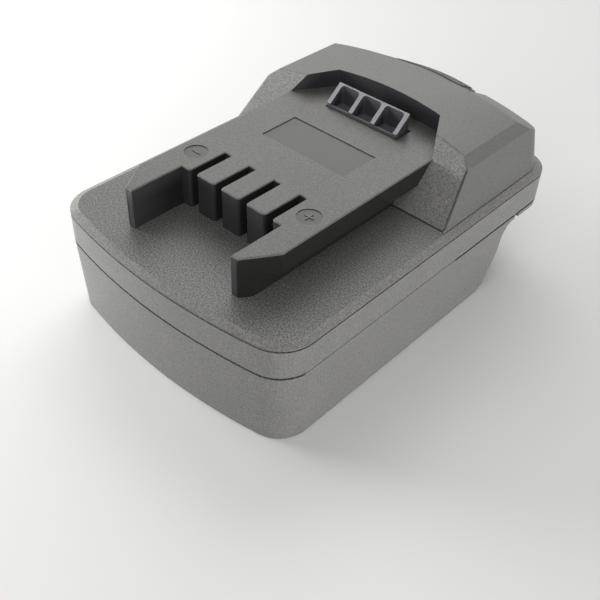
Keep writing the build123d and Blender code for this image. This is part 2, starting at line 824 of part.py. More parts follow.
with BuildPart() as filter_capacitor:
    with BuildSketch(Plane.XY.offset(board_top_z)):
        with Locations(capacitor_spot):
            Circle(capacitor_radius)
    extrude(amount=capacitor_height)
    fillet(filter_capacitor.faces().sort_by(Axis.Z)[-1].edges(), 0.3)
save(filter_capacitor, "filter_capacitor")

# Contact holder: a comb base under the slots
with BuildPart() as contact_holder:
    with BuildSketch(Plane.XY.offset(board_top_z)):
        with Locations((0, (holder_y0 + holder_y1) / 2)):
            Rectangle(2 * holder_half, holder_y1 - holder_y0)
        fillet(vertices(), 0.8)
    extrude(amount=holder_top_z - board_top_z)
    with BuildSketch(Plane.XY.offset(holder_top_z)):
        with Locations(*[((slot_xs[i] + slot_xs[i + 1]) / 2, clip_y) for i in range(3)]):
            Rectangle(comb_width, clip_length)
    extrude(amount=comb_height)
    with BuildSketch(Plane.XY.offset(board_top_z)):
        with Locations(*tail_spots):
            Rectangle(tail_thick + 2 * fit_gap, tail_width + 2 * fit_gap)
    extrude(amount=holder_top_z - board_top_z, mode=Mode.SUBTRACT)
save(contact_holder, "contact_holder")

# Tool contacts: folded clips that grip the tool's blades, each with a solder tail
clip_names = ["contact_negative", "contact_signal_left", "contact_signal_right", "contact_positive"]
clip_base_z = holder_top_z + clip_thick / 2
half_leaf = [
    (clip_mouth_half, clip_mouth_z),
    (clip_throat_half, clip_throat_z),
    (clip_foot_half, clip_bend_z),
    (clip_foot_half, clip_base_z),
]
clip_outline = [(-x, z) for x, z in half_leaf] + half_leaf[::-1]
for name, x in zip(clip_names, slot_xs):
    with BuildPart() as clip:
        with BuildSketch(Plane(origin=(x, clip_y + clip_length / 2, 0), x_dir=(1, 0, 0), z_dir=(0, -1, 0))):
            with BuildLine():
                FilletPolyline(*clip_outline, radius=clip_round)
            trace(line_width=clip_thick)
        extrude(amount=clip_length)
        with BuildSketch(Plane.XY.offset(holder_top_z + fit_gap)):
            with Locations((x, clip_y)):
                Rectangle(tail_thick, tail_width)
        extrude(amount=board_z - tail_stub - holder_top_z - fit_gap)
    save(clip, name)

# Battery blades: each runs from the bay up through the block to its solder tail
blade_outline = [
    (tail_y0, blade_low_z), (blade_tip_y - 1, blade_low_z), (blade_tip_y, blade_low_z + 1),
    (blade_tip_y, blade_high_z - 1), (blade_tip_y - 1, blade_high_z), (tail_y1, blade_high_z),
    (tail_y1, tail_top_z), (tail_y0, tail_top_z),
]
for name, x in blade_xs.items():
    with BuildPart() as blade:
        with BuildSketch(Plane.YZ.offset(x)):
            with BuildLine():
                Polyline(*blade_outline, close=True)
            make_face()
        extrude(amount=blade_thick / 2, both=True)
    save(blade, name)

# Terminal block: dropped in from above, its flange on the bay roof
with BuildPart() as terminal_block:
    with BuildSketch(Plane.XY.offset(block_low_z)):
        with Locations((0, block_y)):
            Rectangle(2 * block_half, block_length)
    extrude(amount=roof_top_z - block_low_z)
    chamfer(terminal_block.faces().sort_by(Axis.Z)[0].edges(), 0.6)
    with BuildSketch(Plane.XY.offset(roof_top_z)):
        with Locations((0, block_y)):
            Rectangle(2 * block_flange_half, block_length)
        fillet(vertices(), 1.2)
        with Locations(*block_spots):
            Circle(small_shank_radius + 0.2, mode=Mode.SUBTRACT)
    extrude(amount=block_flange)
    for x in blade_xs.values():
        with BuildSketch(Plane.YZ.offset(x)):
            with BuildLine():
                Polyline(*blade_outline, close=True)
            make_face()
        extrude(amount=blade_thick / 2, both=True, mode=Mode.SUBTRACT)
save(terminal_block, "terminal_block")

# Leads from the blades' tails to the board's front edge
lead_specs = {
    "negative_wire": (-9.0, -11.5, 1.0),
    "signal_wire": (0.0, -2.0, 0.6),
    "positive_wire": (9.0, 11.5, 1.0),
}
lead_z = 24.2
lead_bend_y = -41.4
lead_land_y = -36.8
lead_end_y = -31.5
with BuildPart() as wire_sleeves:
    for x0, x1, radius in lead_specs.values():
        with BuildSketch(Plane.XZ.offset(-tail_y1 - 0.3)):
            with Locations((x0, lead_z)):
                Circle(radius + 0.4)
                Circle(radius + 0.05, mode=Mode.SUBTRACT)
        extrude(amount=-2.2)
save(wire_sleeves, "wire_sleeves")
for name, (x0, x1, radius) in lead_specs.items():
    over_board_z = board_top_z + radius
    route = [
        (x0, tail_y1, lead_z),
        (x0, lead_bend_y, lead_z),
        (x1, lead_land_y, over_board_z),
        (x1, lead_end_y, over_board_z),
    ]
    turns = []
    for a, b, c in zip(route, route[1:], route[2:]):
        before, after = Vector(b) - Vector(a), Vector(c) - Vector(b)
        half_turn = math.radians(before.get_angle(after)) / 2
        turns.append(0.45 * min(before.length, after.length) / math.tan(half_turn))
    print(name, "radii", [round(r, 1) for r in turns])
    with BuildPart() as lead:
        with BuildLine() as path:
            FilletPolyline(*route, radius=turns)
        with BuildSketch(Plane(origin=route[0], z_dir=(0, 1, 0))):
            Circle(radius)
        sweep(path=path.line)
    tube_volume = math.pi * radius**2 * path.wires()[0].length
    print(name, "volume", round(lead.part.volume, 2), "section by length", round(tube_volume, 2))
    save(lead, name)

# Screws that join the shells, driven from inside the bay
with BuildPart() as housing_screws:
    with Locations(*[upright(x, y, seat_z) for x, y in screw_spots]):
        Cylinder(screw_head_radius, screw_head_height, align=hanging)
        Cylinder(screw_shank_radius, screw_length, align=standing)
    fillet(housing_screws.edges().group_by(Axis.Z)[0], 0.4)
    with Locations(*[upright(x, y, seat_z - screw_head_height) for x, y in screw_spots]):
        Box(cross_width, cross_length, 2 * cross_depth, mode=Mode.SUBTRACT)
        Box(cross_length, cross_width, 2 * cross_depth, mode=Mode.SUBTRACT)
save(housing_screws, "housing_screws")

# Small screws of the terminal block and of the board
for name, spots, seat in (
    ("block_screws", block_spots, roof_top_z + block_flange),
    ("board_screws", board_spots, board_top_z),
):
    with BuildPart() as small_screws:
        with Locations(*[upright(x, y, seat) for x, y in spots]):
            Cylinder(small_head_radius, small_head_height, align=standing)
            Cylinder(small_shank_radius, small_length, align=hanging)
        with Locations(*[upright(x, y, seat + small_head_height) for x, y in spots]):
            Box(small_cross_width, small_cross_length, 2 * small_cross_depth, mode=Mode.SUBTRACT)
            Box(small_cross_length, small_cross_width, 2 * small_cross_depth, mode=Mode.SUBTRACT)
    save(small_screws, name)
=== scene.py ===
import math

import bpy
from mathutils import Matrix, Vector


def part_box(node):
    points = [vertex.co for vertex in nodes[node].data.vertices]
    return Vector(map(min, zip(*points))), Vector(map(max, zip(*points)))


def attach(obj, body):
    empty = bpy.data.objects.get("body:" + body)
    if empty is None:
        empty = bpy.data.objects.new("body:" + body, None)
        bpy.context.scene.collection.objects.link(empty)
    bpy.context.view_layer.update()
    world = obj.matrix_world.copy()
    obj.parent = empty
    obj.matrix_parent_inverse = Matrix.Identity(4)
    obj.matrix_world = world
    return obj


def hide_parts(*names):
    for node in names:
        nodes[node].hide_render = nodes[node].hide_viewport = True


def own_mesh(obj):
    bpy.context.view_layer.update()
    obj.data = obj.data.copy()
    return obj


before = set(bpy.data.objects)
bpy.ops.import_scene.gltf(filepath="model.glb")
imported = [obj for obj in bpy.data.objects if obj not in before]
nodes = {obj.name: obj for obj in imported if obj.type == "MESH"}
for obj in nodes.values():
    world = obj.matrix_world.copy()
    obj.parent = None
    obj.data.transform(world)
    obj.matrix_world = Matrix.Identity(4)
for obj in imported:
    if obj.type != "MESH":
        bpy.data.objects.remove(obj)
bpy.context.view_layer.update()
print("frame loaded:", len(nodes), "nodes")

scene = bpy.context.scene
scene.view_settings.view_transform = "Standard"
mm = 0.001
waveBands = 20 / (2 * math.pi)      # bands that a wave texture draws in one unit at scale 1
weldGap = 0.002 * mm                # points nearer than this are joined

# heights in metres: the deck and the rail platform lie this far under the hump's crown
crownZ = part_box("upper_housing")[1].z
deckZ = crownZ - 16.5 * mm
platformZ = crownZ - 5.7 * mm
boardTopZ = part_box("circuit_board")[1].z


# camera, solved from the photograph
cameraView = {
    "place": (0.122175, -0.144041, 0.155957),
    "azimuth": 41.243,      # degrees, 0 looks along +Y
    "elevation": 41.595,
    "roll": 2.632,
    "lens": 51.99,          # mm
    "sensor": 36,           # mm wide
    "sees": (0.005, 20),    # metres, nearest and farthest
}


def makeCamera(view):
    data = bpy.data.cameras.new("camera")
    data.sensor_width = view["sensor"]
    data.lens = view["lens"]
    data.clip_start, data.clip_end = view["sees"]
    camera = bpy.data.objects.new("camera", data)
    turn = (
        Matrix.Rotation(math.radians(view["azimuth"]), 4, "Z")
        @ Matrix.Rotation(math.radians(90 - view["elevation"]), 4, "X")
        @ Matrix.Rotation(math.radians(view["roll"]), 4, "Z")
    )
    camera.matrix_world = Matrix.Translation(view["place"]) @ turn
    scene.collection.objects.link(camera)
    scene.camera = camera


makeCamera(cameraView)
print("camera placed")


def linearColour(hexColour):
    channels = [int(hexColour[i:i + 2], 16) / 255 for i in (1, 3, 5)]
    return [c / 12.92 if c <= 0.04045 else ((c + 0.055) / 1.055) ** 2.4 for c in channels] + [1.0]


def addNode(tree, kind, inputs=None, output=0, **settings):
    node = tree.nodes.new(kind)
    for name, value in settings.items():
        setattr(node, name, value)
    for socket, value in (inputs or {}).items():
        if isinstance(value, bpy.types.NodeSocket):
            tree.links.new(value, node.inputs[socket])
        else:
            node.inputs[socket].default_value = value
    return node.outputs[output]


def newMaterial(name):
    material = bpy.data.materials.new(name)
    material.use_nodes = True
    tree = material.node_tree
    coords = addNode(tree, "ShaderNodeTexCoord").node.outputs
    return material, tree, tree.nodes["Principled BSDF"].inputs, coords


# Glass-filled nylon, injection moulded. The deck and the hump's slanted front keep the mould's coarse
# spark grain, which sparkles grey; the rim bevel and the slanted front are painted lighter, a painted
# highlight. Sides, chamfers and facet are a smoother satin, painted darker on the hump as painted shade,
# and the rail platform is finely grained. The walls of rails, slots and recess were polished smoother,
# and their near black is painted shade.
housingFinish = {
    # dark pits and light tops of the grain
    "satin": ("#62625f", "#82817d"),
    # the hump's satin, painted darker than the bands' satin: painted shade
    "hump": ("#575753", "#6f6f6b"),
    "deck": ("#464644", "#8b8b87"),
    # rim and slant: the coarse grain painted lighter than the deck's, a painted highlight
    "rim": ("#666562", "#8d8c87"),
    "slant": ("#61615e", "#8c8b87"),
    "platform": ("#494946", "#6d6c68"),
    # smooth places
    "bare": "#4d4c48",          # the sunk field and the round marks
    "inner": "#39393b",         # polished walls of fork, slots and recess, painted near black: painted shade
    "outer": "#1e1e1d",         # polished walls on the rails' outer sides, painted darker still: painted shade
    "edge": "#8d8d88",          # painted highlight along proud edges
    "slantEdgeShade": "#2c2c2a",        # painted shade: a dark line where the slant meets the hump's sides and the deck
    "coarseGrain": 0.40,        # mm between the spark pits
    "fineGrain": 0.36,          # mm, drawn coarser than the real 0.1 so that it shows
    "clouds": 13,               # mm, faint changes of shade
    "coarseHeight": 0.050,      # mm
    "fineHeight": 0.010,
    "coarseRough": 0.46,
    "satinRough": 0.40,
    "polishedRough": 0.18,
    "highlightRadius": 0.25,         # mm, how far the painted edge highlight reaches
    "gloss": 0.32,              # carbon black in the skin dulls the shine of bare nylon
    # places, in mm from the middle
    "railHalf": 24.4,           # just outside the rails
    "forkHalf": 18.2,           # between the fork's walls and the rails' outer sides
    "slantHalf": 30,            # inside the ends of the slanted front
    "recessEnd": 29,            # just behind the recess's back wall
}


def makeHousingPlastic(f):
    material, tree, shader, coords = newMaterial("nylon_moulded_spark_grained")
    x, y, z = addNode(tree, "ShaderNodeSeparateXYZ", {0: coords["Object"]}).node.outputs
    nx, ny, nz = addNode(tree, "ShaderNodeSeparateXYZ", {0: coords["Normal"]}).node.outputs
    sideways = addNode(tree, "ShaderNodeMath", {0: x}, operation="ABSOLUTE")
    upright = addNode(tree, "ShaderNodeMath", {0: nz}, operation="ABSOLUTE")
    turned = addNode(tree, "ShaderNodeMath", {0: nx}, operation="ABSOLUTE")

    # conditions on a point: what is compared, how, and with what
    met = {}
    for name, value, how, limit in (
        ("steep", upright, "LESS_THAN", 0.3),
        ("level", nz, "GREATER_THAN", 0.85),
        ("bevelled", nz, "LESS_THAN", 0.985),
        ("flat", nz, "GREATER_THAN", 0.99),
        ("leansBack", nz, "GREATER_THAN", 0.5),
        ("facesFront", ny, "LESS_THAN", -0.5),
        ("forward", ny, "LESS_THAN", -0.12),
        ("turned", turned, "GREATER_THAN", 0.25),
        ("inRails", sideways, "LESS_THAN", f["railHalf"] * mm),
        ("outside", sideways, "GREATER_THAN", f["forkHalf"] * mm),
        ("besideRails", sideways, "GREATER_THAN", f["slantHalf"] * mm),
        ("ahead", y, "LESS_THAN", f["recessEnd"] * mm),
        ("fromDeck", z, "GREATER_THAN", deckZ - 0.05 * mm),
        ("low", z, "LESS_THAN", deckZ + 0.3 * mm),
        ("hump", z, "GREATER_THAN", deckZ + 0.3 * mm),
        ("atFoot", z, "LESS_THAN", deckZ + 0.35 * mm),
        ("nearTop", z, "GREATER_THAN", platformZ - 1.0 * mm),
        ("proud", z, "GREATER_THAN", platformZ - 0.6 * mm),
        ("fromFloor", z, "GREATER_THAN", platformZ - 0.3 * mm),
        ("sunk", z, "LESS_THAN", platformZ - 0.1 * mm),
        ("underEdge", z, "LESS_THAN", platformZ + 0.1 * mm),
        ("underRecess", z, "LESS_THAN", platformZ + 0.2 * mm),
        ("underBrow", z, "LESS_THAN", platformZ + 0.8 * mm),
    ):
        met[name] = addNode(tree, "ShaderNodeMath", {0: value, 1: limit}, operation=how)

    # places, where all their conditions are met
    for name, needed in (
        # inner and outer: the polished walls, which take the painted shade
        ("inner", ("steep", "inRails", "ahead", "fromDeck")),
        ("outer", ("inner", "outside", "underEdge")),
        ("deck", ("level", "low")),
        ("rim", ("deck", "bevelled")),
        ("slant", ("facesFront", "leansBack")),
        ("platform", ("nearTop", "underRecess", "inRails", "ahead")),
        ("bare", ("platform", "fromFloor", "sunk", "flat")),
        # rounding and foot: where the slant's edges take a painted shade
        ("rounding", ("turned", "forward", "besideRails", "underBrow", "hump")),
        ("foot", ("slant", "atFoot")),
    ):
        met[name] = met[needed[0]]
        for other in needed[1:]:
            met[name] = addNode(tree, "ShaderNodeMath", {0: met[name], 1: met[other]}, operation="MULTIPLY")
    coarse = addNode(tree, "ShaderNodeMath", {0: met["deck"], 1: met["slant"]}, operation="MAXIMUM")
    # painted shade along the slant's rounded ends and its foot
    met["slantEdgeShade"] = addNode(
        tree, "ShaderNodeMath", {0: met["rounding"], 1: met["foot"]}, operation="MAXIMUM",
    )

    # the grain's heights
    coarseNoise = addNode(
        tree, "ShaderNodeTexNoise",
        {"Vector": coords["Object"], "Scale": 1 / (f["coarseGrain"] * mm), "Detail": 2.0, "Roughness": 0.6},
    )
    fineNoise = addNode(
        tree, "ShaderNodeTexNoise",
        {"Vector": coords["Object"], "Scale": 1 / (f["fineGrain"] * mm), "Detail": 2.0, "Roughness": 0.7},
    )
    cloud = addNode(
        tree, "ShaderNodeTexNoise",
        {"Vector": coords["Object"], "Scale": 1 / (f["clouds"] * mm), "Detail": 2.0},
    )
    bump = addNode(
        tree, "ShaderNodeBump",
        {"Height": coarseNoise, "Strength": coarse, "Distance": f["coarseHeight"] * mm},
    )
    bump = addNode(
        tree, "ShaderNodeBump",
        {"Height": fineNoise, "Strength": 1.0, "Distance": f["fineHeight"] * mm, "Normal": bump},
    )
    tree.links.new(bump, shader["Normal"])

    # painted highlight: edges are a little lighter where they stand proud, on rail tops and the recess's
    # brow
    rounded = addNode(tree, "ShaderNodeBevel", {"Radius": f["highlightRadius"] * mm}, samples=4)
    face = addNode(tree, "ShaderNodeNewGeometry", output="Normal")
    along = addNode(
        tree, "ShaderNodeVectorMath", {0: rounded, 1: face}, output="Value", operation="DOT_PRODUCT",
    )
    edge = addNode(
        tree, "ShaderNodeMapRange", {"Value": along, "From Min": 0.99, "From Max": 0.80, "To Max": 0.7},
    )
    edge = addNode(tree, "ShaderNodeMath", {0: edge, 1: fineNoise}, operation="MULTIPLY")
    met["edge"] = addNode(tree, "ShaderNodeMath", {0: edge, 1: met["proud"]}, operation="MULTIPLY")

    # colours: light specks on the tops of the grain, then each place laid over the ones before it
    specks = addNode(
        tree, "ShaderNodeMapRange", {"Value": coarseNoise, "From Min": 0.36, "From Max": 0.66},
    )
    fineSpecks = addNode(
        tree, "ShaderNodeMapRange", {"Value": fineNoise, "From Min": 0.34, "From Max": 0.66},
    )
    tones = {name: linearColour(f[name]) for name in ("bare", "inner", "outer", "edge", "slantEdgeShade")}
    for name, grain in (
        ("satin", fineSpecks), ("hump", fineSpecks), ("platform", fineSpecks),
        ("deck", specks), ("rim", specks), ("slant", specks),
    ):
        pit, top = [linearColour(tone) for tone in f[name]]
        tones[name] = addNode(
            tree, "ShaderNodeMix", {0: grain, 6: pit, 7: top}, output=2, data_type="RGBA",
        )
    colour = tones["satin"]
    for name in ("hump", "deck", "rim", "slant", "platform", "bare", "inner", "outer", "edge", "slantEdgeShade"):
        colour = addNode(
            tree, "ShaderNodeMix", {0: met[name], 6: colour, 7: tones[name]}, output=2, data_type="RGBA",
        )
    shade = addNode(tree, "ShaderNodeMapRange", {"Value": cloud, "To Min": 0.92, "To Max": 1.08})
    colour = addNode(tree, "ShaderNodeHueSaturation", {"Value": shade, "Color": colour})
    tree.links.new(colour, shader["Base Color"])

    rough = addNode(tree, "ShaderNodeMix", {0: coarse, 2: f["satinRough"], 3: f["coarseRough"]})
    rough = addNode(tree, "ShaderNodeMix", {0: met["inner"], 2: rough, 3: f["polishedRough"]})
    uneven = addNode(tree, "ShaderNodeMapRange", {"Value": cloud, "To Min": -0.05, "To Max": 0.05})
    rough = addNode(tree, "ShaderNodeMath", {0: rough, 1: uneven}, operation="ADD")
    tree.links.new(rough, shader["Roughness"])
    shader["IOR"].default_value = 1.53
    shader["Specular IOR Level"].default_value = f["gloss"]
    return material


# Acetal, moulded smooth, with a soft gloss: the hook's sloped face is a pale grey. The button's top is a mid
# grey; the floors of the hook's pockets are painted a mid grey and the walls dark, both painted shade.
latchFinish = {
    "hookTone": ("#7e7e80", "#9a9a9b"),
    "worn": ("#5c5c5b", "#747472"),
    # painted shade on the floors of the hook's pockets
    "floor": ("#5d5d62", "#77777c"),
    # painted shade on all steep walls
    "wall": "#404044",
    "hookEnd": 30,          # mm behind the middle: the hook lies ahead of it, the button behind
    "grain": 0.40,          # mm
    "height": 0.006,        # mm, of the grain
    "flow": 6,              # mm, clouds where the melt flowed
    "rough": 0.36,
    "unevenness": 0.06,     # how far the clouds take the roughness up and down
}


def makeLatchPlastic(f):
    material, tree, shader, coords = newMaterial("acetal_moulded_pale_hook")
    y = addNode(tree, "ShaderNodeSeparateXYZ", {0: coords["Object"]}, output=1)
    nz = addNode(tree, "ShaderNodeSeparateXYZ", {0: coords["Normal"]}, output=2)
    steep = addNode(tree, "ShaderNodeMath", {0: nz, 1: 0.25}, operation="LESS_THAN")
    level = addNode(tree, "ShaderNodeMath", {0: nz, 1: 0.95}, operation="GREATER_THAN")
    inFront = addNode(tree, "ShaderNodeMath", {0: y, 1: f["hookEnd"] * mm}, operation="LESS_THAN")
    floors = addNode(tree, "ShaderNodeMath", {0: level, 1: inFront}, operation="MULTIPLY")
    grain = addNode(
        tree, "ShaderNodeTexNoise",
        {"Vector": coords["Object"], "Scale": 1 / (f["grain"] * mm), "Detail": 2.0},
    )
    flow = addNode(
        tree, "ShaderNodeTexNoise",
        {"Vector": coords["Object"], "Scale": 1 / (f["flow"] * mm), "Detail": 3.0, "Distortion": 0.6},
    )
    specks = addNode(tree, "ShaderNodeMapRange", {"Value": grain, "From Min": 0.35, "From Max": 0.65})
    tones = {"wall": linearColour(f["wall"])}
    for name in ("worn", "hookTone", "floor"):
        pit, top = [linearColour(tone) for tone in f[name]]
        tones[name] = addNode(
            tree, "ShaderNodeMix", {0: specks, 6: pit, 7: top}, output=2, data_type="RGBA",
        )
    colour = tones["worn"]
    # the hook's paler tone, then painted shade on the pocket floors and the steep walls
    for name, share in (("hookTone", inFront), ("floor", floors), ("wall", steep)):
        colour = addNode(
            tree, "ShaderNodeMix", {0: share, 6: colour, 7: tones[name]}, output=2, data_type="RGBA",
        )
    bump = addNode(
        tree, "ShaderNodeBump", {"Height": grain, "Strength": 1.0, "Distance": f["height"] * mm},
    )
    rough = addNode(
        tree, "ShaderNodeMapRange",
        {"Value": flow, "To Min": f["rough"] - f["unevenness"], "To Max": f["rough"] + f["unevenness"]},
    )
    tree.links.new(colour, shader["Base Color"])
    tree.links.new(bump, shader["Normal"])
    tree.links.new(rough, shader["Roughness"])
    shader["IOR"].default_value = 1.48
    return material


# Moulded and extruded plastics of one colour: fine grain, faint clouds where the melt flowed, and edges a
# shade lighter, a painted highlight. Grain, height and flow are in mm.
plasticFinishes = {
    # PBT with glass fibre: harder black with a tight satin skin
    "pbt_moulded": {
        "colour": "#242427", "light": "#35353a",
        "grain": 0.30, "height": 0.010, "flow": 5, "rough": 0.44, "ior": 1.55,
    },
    # soft PVC drawn over the strands: bright colour, waxy gloss, long faint ripples
    "pvc_extruded_red": {
        "colour": "#a3211b", "light": "#b93227",
        "grain": 0.8, "height": 0.010, "flow": 4, "rough": 0.34, "ior": 1.54,
    },
    "pvc_extruded_black": {
        "colour": "#1c1c1e", "light": "#2a2a2d",
        "grain": 0.8, "height": 0.010, "flow": 4, "rough": 0.34, "ior": 1.54,
    },
    "pvc_extruded_white": {
        "colour": "#d6d4cc", "light": "#e4e2dc",
        "grain": 0.8, "height": 0.010, "flow": 4, "rough": 0.36, "ior": 1.54,
    },
    # polyolefin sleeve, shrunk on with hot air: matt black with small wrinkles
    "polyolefin_shrunk": {
        "colour": "#202021", "light": "#313133",
        "grain": 0.5, "height": 0.035, "flow": 3, "rough": 0.52, "ior": 1.50,
    },
}
# how far the painted highlight on the plastics' edges reaches
edgeHighlightWidth = 0.2 * mm
plasticUnevenness = 0.06


def makePlastic(name, f):
    material, tree, shader, coords = newMaterial(name)
    grain = addNode(
        tree, "ShaderNodeTexNoise",
        {"Vector": coords["Object"], "Scale": 1 / (f["grain"] * mm), "Detail": 2.0},
    )
    flow = addNode(
        tree, "ShaderNodeTexNoise",
        {"Vector": coords["Object"], "Scale": 1 / (f["flow"] * mm), "Detail": 3.0, "Distortion": 0.6},
    )
    both = addNode(tree, "ShaderNodeMix", {0: 0.35, 2: flow, 3: grain})
    share = addNode(tree, "ShaderNodeMapRange", {"Value": both, "From Min": 0.35, "From Max": 0.65})
    # painted highlight: edges drawn a shade lighter
    rounded = addNode(tree, "ShaderNodeBevel", {"Radius": edgeHighlightWidth}, samples=4)
    face = addNode(tree, "ShaderNodeNewGeometry", output="Normal")
    along = addNode(
        tree, "ShaderNodeVectorMath", {0: rounded, 1: face}, output="Value", operation="DOT_PRODUCT",
    )
    edge = addNode(
        tree, "ShaderNodeMapRange", {"Value": along, "From Min": 0.99, "From Max": 0.8, "To Max": 0.8},
    )
    share = addNode(tree, "ShaderNodeMath", {0: share, 1: edge}, operation="MAXIMUM")
    colour = addNode(
        tree, "ShaderNodeMix", {0: share, 6: linearColour(f["colour"]), 7: linearColour(f["light"])},
        output=2, data_type="RGBA",
    )
    bump = addNode(
        tree, "ShaderNodeBump", {"Height": grain, "Strength": 1.0, "Distance": f["height"] * mm},
    )
    rough = addNode(
        tree, "ShaderNodeMapRange",
        {"Value": flow, "To Min": f["rough"] - plasticUnevenness, "To Max": f["rough"] + plasticUnevenness},
    )
    tree.links.new(colour, shader["Base Color"])
    tree.links.new(bump, shader["Normal"])
    tree.links.new(rough, shader["Roughness"])
    shader["IOR"].default_value = f["ior"]
    return material


# Metals: fine lines or pits, whose size along X, Y and Z is "line", and tarnish in soft clouds; in mm
metalFinishes = {
    # copper alloy strip, blanked and nickel plated: warm silver with rolling lines along Y
    "copper_alloy_nickel_plated": {
        "colour": "#cbc6ba", "dull": "#a59c8a",
        "line": (0.25, 3.0, 0.25), "height": 0.004, "cloud": 3, "rough": 0.30,
    },
    # case-hardened steel, zinc plated: pale blue-grey, finely pitted
    "steel_zinc_plated": {
        "colour": "#b9bcc0", "dull": "#8f9296",
        "line": (0.35, 0.35, 0.35), "height": 0.006, "cloud": 1.5, "rough": 0.34,
    },
    # spring steel, drawn and oiled: darker, with long glints
    "spring_steel_drawn": {
        "colour": "#8b8c8f", "dull": "#5d5d60",
        "line": (0.6, 0.6, 0.2), "height": 0.004, "cloud": 2, "rough": 0.27,
    },
    # tin solder, flowed by hand: bright and slightly frosted
    "tin_solder_flowed": {
        "colour": "#c6c8ca", "dull": "#9da0a3",
        "line": (0.4, 0.4, 0.4), "height": 0.008, "cloud": 0.8, "rough": 0.26,
    },
}
brightRough = -0.08     # what a clean and a tarnished spot add to a metal's roughness
tarnishedRough = 0.12


def makeMetal(name, f):
    material, tree, shader, coords = newMaterial(name)
    stretch = addNode(
        tree, "ShaderNodeMapping",
        {"Vector": coords["Object"], "Scale": [1 / (size * mm) for size in f["line"]]},
    )
    lines = addNode(tree, "ShaderNodeTexNoise", {"Vector": stretch, "Scale": 1.0, "Detail": 2.0})
    cloud = addNode(
        tree, "ShaderNodeTexNoise",
        {"Vector": coords["Object"], "Scale": 1 / (f["cloud"] * mm), "Detail": 3.0},
    )
    share = addNode(tree, "ShaderNodeMapRange", {"Value": cloud, "From Min": 0.4, "From Max": 0.7})
    colour = addNode(
        tree, "ShaderNodeMix", {0: share, 6: linearColour(f["colour"]), 7: linearColour(f["dull"])},
        output=2, data_type="RGBA",
    )
    bump = addNode(
        tree, "ShaderNodeBump", {"Height": lines, "Strength": 1.0, "Distance": f["height"] * mm},
    )
    rough = addNode(
        tree, "ShaderNodeMapRange",
        {"Value": cloud, "To Min": f["rough"] + brightRough, "To Max": f["rough"] + tarnishedRough},
    )
    tree.links.new(colour, shader["Base Color"])
    tree.links.new(bump, shader["Normal"])
    tree.links.new(rough, shader["Roughness"])
    shader["Metallic"].default_value = 1.0
    return material


# Glass-epoxy laminate: green solder mask, lighter where copper tracks lie under it, and layered yellow edges
boardFinish = {
    "mask": "#1d4a2c",
    "track": "#2c6a3d",
    "edge": "#a08a52",
    "edgeLight": "#c4b07c",
    "trackGrid": 3.2,       # mm
    "trackWidth": 0.16,     # share of the grid
    "trackHeight": 0.035,   # mm
    "layer": 0.2,           # mm, one glass layer
    "weave": 0.5,           # mm
}


def makeBoardLaminate(f):
    material, tree, shader, coords = newMaterial("glass_epoxy_solder_masked")
    nz = addNode(tree, "ShaderNodeSeparateXYZ", {0: coords["Normal"]}, output=2)
    upright = addNode(tree, "ShaderNodeMath", {0: nz}, operation="ABSOLUTE")
    cutEdge = addNode(tree, "ShaderNodeMath", {0: upright, 1: 0.5}, operation="LESS_THAN")
    cells = addNode(
        tree, "ShaderNodeTexVoronoi",
        {"Vector": coords["Object"], "Scale": 1 / (f["trackGrid"] * mm), "Randomness": 0.35},
        output="Distance", feature="DISTANCE_TO_EDGE",
    )
    track = addNode(tree, "ShaderNodeMath", {0: cells, 1: f["trackWidth"]}, operation="LESS_THAN")
    face = addNode(
        tree, "ShaderNodeMix", {0: track, 6: linearColour(f["mask"]), 7: linearColour(f["track"])},
        output=2, data_type="RGBA",
    )
    layers = addNode(
        tree, "ShaderNodeTexWave",
        {"Vector": coords["Object"], "Scale": 1 / (waveBands * f["layer"] * mm), "Distortion": 0.4},
        output="Fac", bands_direction="Z",
    )
    layers = addNode(tree, "ShaderNodeMath", {0: layers, 1: 0.7}, operation="MULTIPLY")
    side = addNode(
        tree, "ShaderNodeMix", {0: layers, 6: linearColour(f["edge"]), 7: linearColour(f["edgeLight"])},
        output=2, data_type="RGBA",
    )
    colour = addNode(tree, "ShaderNodeMix", {0: cutEdge, 6: face, 7: side}, output=2, data_type="RGBA")
    weave = addNode(
        tree, "ShaderNodeTexNoise", {"Vector": coords["Object"], "Scale": 1 / (f["weave"] * mm)},
    )
    height = addNode(tree, "ShaderNodeMath", {0: weave, 1: 0.3}, operation="MULTIPLY")
    height = addNode(tree, "ShaderNodeMath", {0: height, 1: track}, operation="ADD")
    bump = addNode(
        tree, "ShaderNodeBump", {"Height": height, "Strength": 0.6, "Distance": f["trackHeight"] * mm},
    )
    rough = addNode(tree, "ShaderNodeMapRange", {"Value": cutEdge, "To Min": 0.28, "To Max": 0.7})
    tree.links.new(colour, shader["Base Color"])
    tree.links.new(bump, shader["Normal"])
    tree.links.new(rough, shader["Roughness"])
    shader["IOR"].default_value = 1.56
    return material


# Chips: matt charcoal epoxy pressed round the lead frame, or fired ceramic, with tinned legs or end caps
# where they stand out. Along its axis a chip is metal further than "half" from its middle; in mm.
chipFinishes = {
    "epoxy_moulded_controller": {"body": "#1f2022", "axis": 0, "middle": -9.0, "half": 1.96, "repeat": 0},
    "epoxy_moulded_transistor": {"body": "#232426", "axis": 1, "middle": -9.0, "half": 3.06, "repeat": 0},
    "ceramic_chip_end_capped": {"body": "#2b2a29", "axis": 0, "middle": -7.8, "half": 0.68, "repeat": 3.2},
}
tinned = "#bfc1c2"
chipGrain = 0.12 * mm
chipGrainHeight = 0.006 * mm


